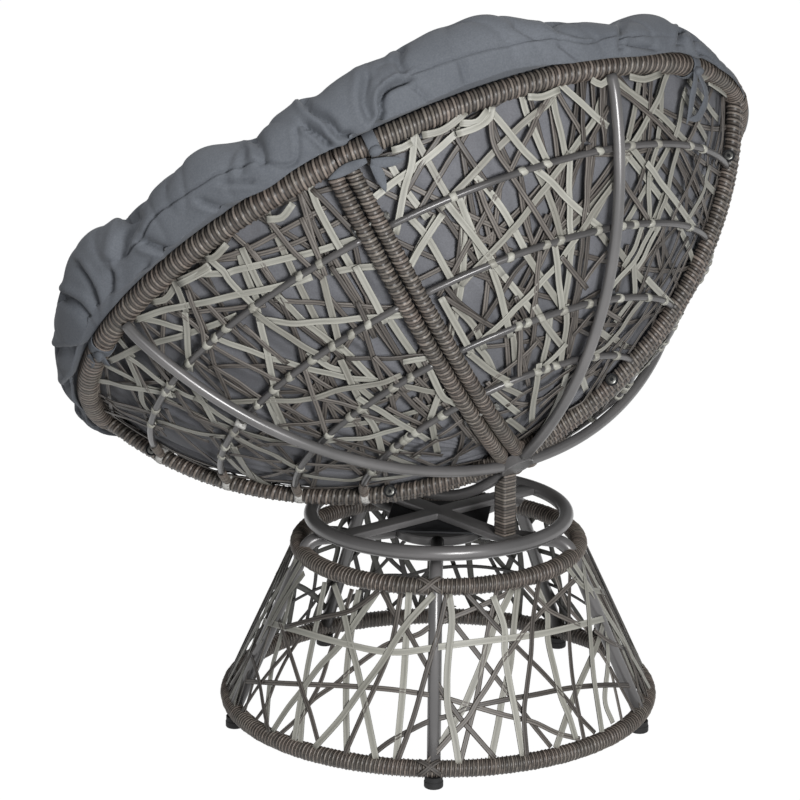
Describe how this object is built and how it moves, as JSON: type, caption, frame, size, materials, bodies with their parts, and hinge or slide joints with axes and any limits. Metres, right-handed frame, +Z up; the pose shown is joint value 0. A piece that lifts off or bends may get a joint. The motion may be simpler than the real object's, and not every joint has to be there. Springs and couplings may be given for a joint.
{
  "type": "papasan chair",
  "caption": "Round papasan chair: a tilted bowl of woven wicker panels on painted steel tubes, with a thick round cushion, turning on a conical woven base.",
  "frame": {"origin": "on the floor under the middle of the chair's outline seen from above", "axes": "+Z up, -Y is the front that the sitter faces, +X is to the sitter's left"},
  "size_m": [1.1472, 0.921, 1.1213],
  "materials": {
    "wicker": "woven resin strip, matt grey-brown",
    "woven_strip": "flat resin strip, pale taupe",
    "painted_steel": "powder-coated dark grey tube",
    "black_steel": "black painted plate",
    "rubber": "matt black rubber",
    "bolt_steel": "zinc-plated fastener",
    "cushion_fabric": "slate grey woven polyester"
  },
  "bodies": {
    "base": {"base_top_ring": "wicker", "base_bottom_ring": "wicker", "leg_1": "painted_steel", "leg_2": "painted_steel", "leg_3": "painted_steel", "leg_4": "painted_steel", "leg_5": "painted_steel", "foot_1": "rubber", "foot_2": "rubber", "foot_3": "rubber", "foot_4": "rubber", "foot_5": "rubber", "base_weave": "woven_strip", "base_hub": "painted_steel", "lower_swivel_plate": "black_steel", "bearing_race": "black_steel"},
    "seat": {"upper_swivel_plate": "black_steel", "swivel_ring": "painted_steel", "crossbars": "painted_steel", "rear_post": "wicker", "spine_head": "painted_steel", "back_panel_frame": "wicker", "back_spine": "painted_steel", "back_rib_1": "painted_steel", "back_rib_2": "painted_steel", "back_rib_3": "painted_steel", "back_rib_4": "painted_steel", "back_panel_weave": "woven_strip", "left_panel_frame": "wicker", "left_spine": "painted_steel", "left_rib_1": "painted_steel", "left_rib_2": "painted_steel", "left_rib_3": "painted_steel", "left_rib_4": "painted_steel", "left_panel_weave": "woven_strip", "front_panel_frame": "wicker", "front_spine": "painted_steel", "front_rib_1": "painted_steel", "front_rib_2": "painted_steel", "front_rib_3": "painted_steel", "front_rib_4": "painted_steel", "front_panel_weave": "woven_strip", "right_panel_frame": "wicker", "right_spine": "painted_steel", "right_rib_1": "painted_steel", "right_rib_2": "painted_steel", "right_rib_3": "painted_steel", "right_rib_4": "painted_steel", "right_panel_weave": "woven_strip", "back_left_bolt_1": "bolt_steel", "back_left_bolt_2": "bolt_steel", "left_front_bolt_1": "bolt_steel", "left_front_bolt_2": "bolt_steel", "front_right_bolt_1": "bolt_steel", "front_right_bolt_2": "bolt_steel", "right_back_bolt_1": "bolt_steel", "right_back_bolt_2": "bolt_steel", "cushion": "cushion_fabric"}
  },
  "joints": [
    {"name": "swivel", "type": "hinge", "parent": "base", "child": "seat", "pos_m": [0, 0.07194, 0.299], "axis": [0, 0, 1], "continuous": true}
  ]
}
